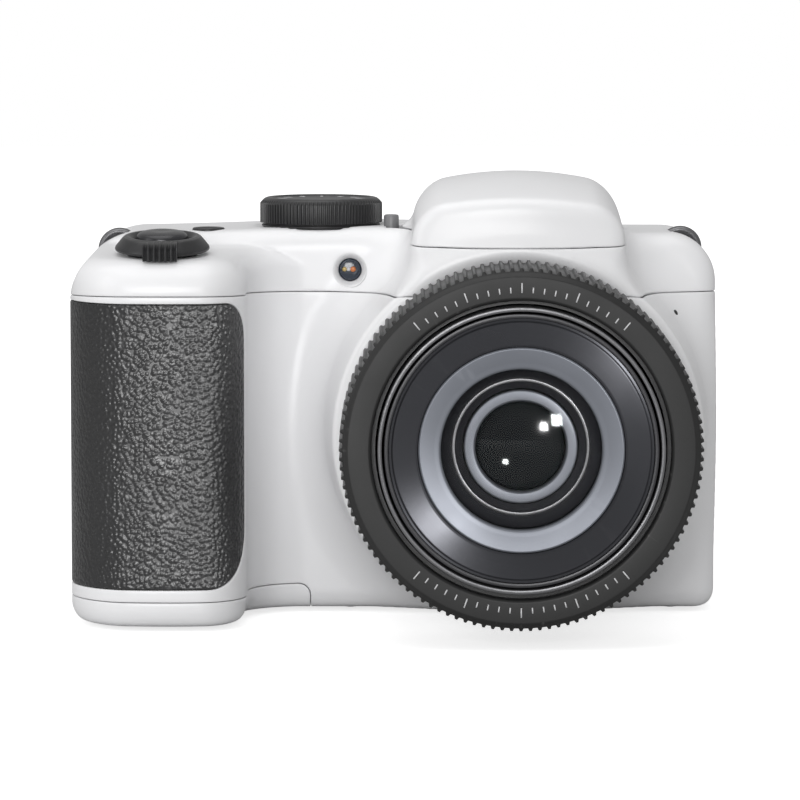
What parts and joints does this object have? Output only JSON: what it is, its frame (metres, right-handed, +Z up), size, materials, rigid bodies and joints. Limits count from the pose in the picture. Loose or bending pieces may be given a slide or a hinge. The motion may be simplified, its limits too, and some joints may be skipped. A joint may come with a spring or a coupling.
{
  "type": "bridge camera",
  "caption": "White bridge camera with a deep rubber grip, a knurled fixed zoom lens with sliding barrels, a mode dial and a hinged pop-up flash lid.",
  "frame": {"origin": "centre of the base, under the middle of the overall box", "axes": "+Z up, -Y out of the lens, +X towards the lens end of the body"},
  "size_m": [0.118, 0.085, 0.0816],
  "materials": {
    "white_plastic": "satin white",
    "grip_rubber": "pebbled",
    "black_plastic": "fine matt",
    "black_metal": "turned, black anodised",
    "grey_metal": "satin grey",
    "steel": "bright",
    "brass": "machined",
    "lens_glass": "coated",
    "screen_glass": "black gloss",
    "cell_wrap": "plain wrap",
    "circuit_board": "solder mask",
    "red_plastic": "satin"
  },
  "bodies": {
    "camera": {"front_cover": "white_plastic", "top_cover": "white_plastic", "rear_cover": "white_plastic", "grip_pad": "grip_rubber", "thumb_rest": "grip_rubber", "door_hinge_pin": "steel", "battery_box": "black_plastic", "aa_cells": "cell_wrap", "cell_contacts": "steel", "card_socket": "steel", "memory_card": "circuit_board", "lens_ring": "black_plastic", "lens_tube": "black_plastic", "lens_base": "black_plastic", "zoom_motor": "steel", "rear_group": "black_plastic", "sensor": "circuit_board", "sensor_board": "circuit_board", "chassis": "steel", "main_board": "circuit_board", "key_board": "black_plastic", "screen_panel": "circuit_board", "screen_window": "screen_glass", "flash_hinge_pin": "steel", "flash_capacitor": "cell_wrap", "focus_lamp": "lens_glass", "focus_bezel": "white_plastic", "port_socket": "steel", "tripod_bush": "brass", "strap_lugs": "steel", "base_screws": "steel"},
    "door": {"battery_door": "white_plastic", "door_contacts": "brass"},
    "cam": {"cam_ring": "black_plastic"},
    "pinion": {"zoom_pinion": "brass"},
    "outer_barrel": {"outer_barrel": "black_metal"},
    "inner_barrel": {"inner_barrel": "black_metal", "turned_ring": "black_metal", "retaining_ring": "grey_metal", "front_element": "lens_glass", "inner_cell": "grey_metal", "inner_element": "lens_glass", "iris_unit": "black_plastic"},
    "flash": {"flash_lid": "white_plastic", "flash_window": "lens_glass", "flash_reflector": "steel", "flash_tube": "lens_glass"},
    "dial": {"mode_dial": "black_plastic"},
    "lever": {"zoom_lever": "black_plastic"},
    "shutter": {"shutter_button": "black_plastic"},
    "power": {"power_button": "black_plastic"},
    "release": {"flash_release": "grey_metal"},
    "flap": {"port_flap": "grip_rubber"},
    "four_way": {"four_way_pad": "black_plastic"},
    "ok": {"ok_button": "black_plastic"},
    "menu": {"menu_button": "black_plastic"},
    "play": {"play_button": "black_plastic"},
    "trash": {"trash_button": "black_plastic"},
    "help": {"help_button": "black_plastic"},
    "record": {"record_button": "red_plastic"}
  },
  "joints": [
    {"name": "cam_turn", "type": "hinge", "parent": "camera", "child": "cam", "pos_m": [0.022, 0, 0.0351], "axis": [0, 1, 0], "range_deg": [0, 100]},
    {"name": "pinion_turn", "type": "hinge", "parent": "camera", "child": "pinion", "pos_m": [-0.00458, 0, 0.01649], "axis": [0, 1, 0], "range_deg": [-980, 0]},
    {"name": "outer_barrel_slide", "type": "slide", "parent": "camera", "child": "outer_barrel", "axis": [0, -1, 0], "range_m": [0, 0.018]},
    {"name": "inner_barrel_slide", "type": "slide", "parent": "outer_barrel", "child": "inner_barrel", "axis": [0, -1, 0], "range_m": [0, 0.018]},
    {"name": "flash_lift", "type": "hinge", "parent": "camera", "child": "flash", "pos_m": [0.022, 0.0285, 0.073], "axis": [-1, 0, 0], "range_deg": [0, 45]},
    {"name": "mode_dial_turn", "type": "hinge", "parent": "camera", "child": "dial", "pos_m": [-0.0139, 0.023, 0.073], "axis": [0, 0, 1], "continuous": true},
    {"name": "zoom_lever_turn", "type": "hinge", "parent": "camera", "child": "lever", "pos_m": [-0.0422, -0.005, 0.0678], "axis": [0, -0.1045, 0.9945], "range_deg": [-25, 25], "stiffness_Nm_per_rad": 0.02},
    {"name": "shutter_press", "type": "slide", "parent": "camera", "child": "shutter", "axis": [0, 0.1045, -0.9945], "range_m": [0, 0.0012], "stiffness_N_per_m": 300},
    {"name": "power_press", "type": "slide", "parent": "camera", "child": "power", "axis": [0, 0, -1], "range_m": [0, 0.0006], "stiffness_N_per_m": 300},
    {"name": "flash_release_press", "type": "slide", "parent": "camera", "child": "release", "axis": [0, 0, -1], "range_m": [0, 0.0008], "stiffness_N_per_m": 300},
    {"name": "battery_door_swing", "type": "hinge", "parent": "camera", "child": "door", "pos_m": [-0.0174, 0.025, 0.0016], "axis": [0, -1, 0], "range_deg": [0, 95]},
    {"name": "port_flap_swing", "type": "hinge", "parent": "camera", "child": "flap", "pos_m": [0.05825, 0.0142, 0.032], "axis": [0, 0, -1], "range_deg": [0, 100]},
    {"name": "four_way_press", "type": "slide", "parent": "camera", "child": "four_way", "axis": [0, -1, 0], "range_m": [0, 0.0005], "stiffness_N_per_m": 300},
    {"name": "ok_press", "type": "slide", "parent": "camera", "child": "ok", "axis": [0, -1, 0], "range_m": [0, 0.0005], "stiffness_N_per_m": 300},
    {"name": "menu_press", "type": "slide", "parent": "camera", "child": "menu", "axis": [0, -1, 0], "range_m": [0, 0.0005], "stiffness_N_per_m": 300},
    {"name": "play_press", "type": "slide", "parent": "camera", "child": "play", "axis": [0, -1, 0], "range_m": [0, 0.0005], "stiffness_N_per_m": 300},
    {"name": "trash_press", "type": "slide", "parent": "camera", "child": "trash", "axis": [0, -1, 0], "range_m": [0, 0.0005], "stiffness_N_per_m": 300},
    {"name": "help_press", "type": "slide", "parent": "camera", "child": "help", "axis": [0, -1, 0], "range_m": [0, 0.0005], "stiffness_N_per_m": 300},
    {"name": "record_press", "type": "slide", "parent": "camera", "child": "record", "axis": [0, -1, 0], "range_m": [0, 0.0005], "stiffness_N_per_m": 300}
  ],
  "couplings": [
    {"joint": "cam_turn", "follows": "outer_barrel_slide", "rad_per_m": 96.963},
    {"joint": "pinion_turn", "follows": "outer_barrel_slide", "rad_per_m": -950.23},
    {"joint": "inner_barrel_slide", "follows": "outer_barrel_slide", "ratio": 1}
  ]
}
